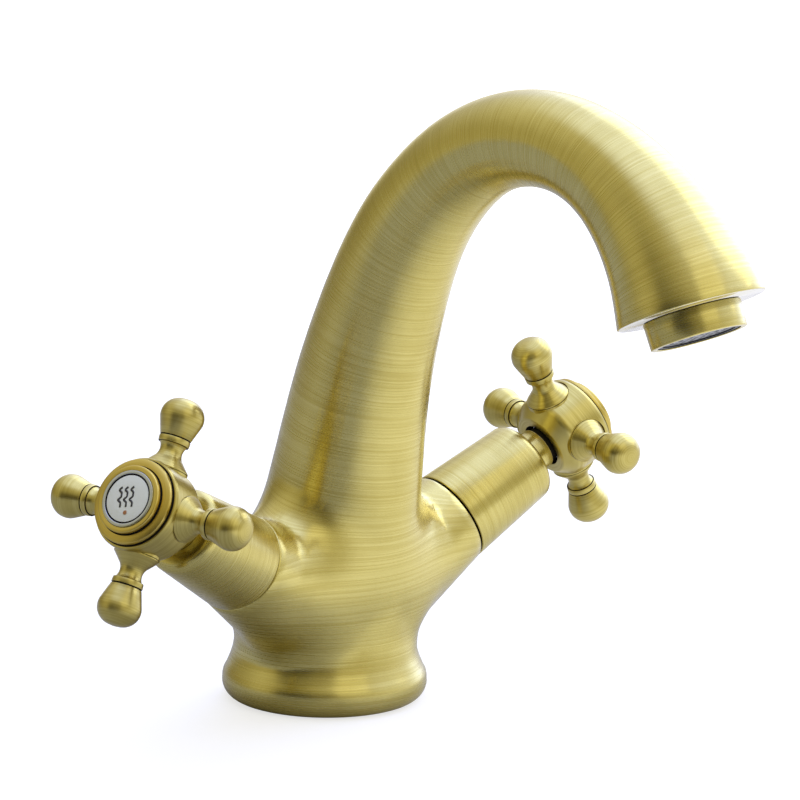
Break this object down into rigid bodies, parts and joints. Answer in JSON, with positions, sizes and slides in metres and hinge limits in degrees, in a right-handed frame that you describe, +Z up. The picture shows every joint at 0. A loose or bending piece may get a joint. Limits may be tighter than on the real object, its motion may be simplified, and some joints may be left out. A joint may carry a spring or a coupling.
{
  "type": "cross handle tap",
  "caption": "Deck-mounted basin mixer tap with a swan-neck spout, two angled side valves and turning cross handles, in brushed satin brass.",
  "frame": {"origin": "centre of the foot, on the basin deck", "axes": "+X towards the cold handle, -Y the way the spout reaches, +Z up"},
  "size_m": [0.1852, 0.1674, 0.1682],
  "materials": {
    "body_brass": "brushed satin, hairlines round each turned shape",
    "handle_brass": "brushed satin, polished edges",
    "valve_brass": "as machined",
    "chrome_ring": "polished",
    "index_white": "glazed white ceramic",
    "rubber": "matt black",
    "black_plastic": "matt black moulded",
    "disc_ceramic": "lapped alumina ceramic",
    "screen_steel": "pierced stainless steel",
    "spring_steel": "bright stainless steel"
  },
  "bodies": {
    "body": {"mixer_body": "body_brass", "base_seal": "rubber", "aerator_shell": "body_brass", "aerator_washer": "rubber", "aerator_cartridge": "black_plastic", "aerator_screen": "screen_steel", "hot_shroud": "body_brass", "hot_valve_body": "valve_brass", "hot_valve_gasket": "rubber", "hot_seat_seal": "rubber", "hot_fixed_disc": "disc_ceramic", "cold_shroud": "body_brass", "cold_valve_body": "valve_brass", "cold_valve_gasket": "rubber", "cold_seat_seal": "rubber", "cold_fixed_disc": "disc_ceramic"},
    "hot_handle": {"hot_turning_disc": "disc_ceramic", "hot_spindle": "valve_brass", "hot_spindle_ring": "rubber", "hot_spindle_clip": "spring_steel", "hot_hub": "handle_brass", "hot_handle_screw": "spring_steel", "hot_index_bezel": "handle_brass", "hot_index_ring": "chrome_ring", "hot_index_button": "index_white", "hot_spoke_1": "handle_brass", "hot_spoke_2": "handle_brass", "hot_spoke_3": "handle_brass", "hot_spoke_4": "handle_brass"},
    "cold_handle": {"cold_turning_disc": "disc_ceramic", "cold_spindle": "valve_brass", "cold_spindle_ring": "rubber", "cold_spindle_clip": "spring_steel", "cold_hub": "handle_brass", "cold_handle_screw": "spring_steel", "cold_index_bezel": "handle_brass", "cold_index_ring": "chrome_ring", "cold_index_button": "index_white", "cold_spoke_1": "handle_brass", "cold_spoke_2": "handle_brass", "cold_spoke_3": "handle_brass", "cold_spoke_4": "handle_brass"}
  },
  "joints": [
    {"name": "hot_handle_turn", "type": "hinge", "parent": "body", "child": "hot_handle", "pos_m": [-0.07515, -0.01393, 0.06315], "axis": [-0.8657, -0.1605, 0.4741], "range_deg": [0, 90]},
    {"name": "cold_handle_turn", "type": "hinge", "parent": "body", "child": "cold_handle", "pos_m": [0.07515, -0.01393, 0.06315], "axis": [0.8657, -0.1605, 0.4741], "range_deg": [0, 90]}
  ]
}
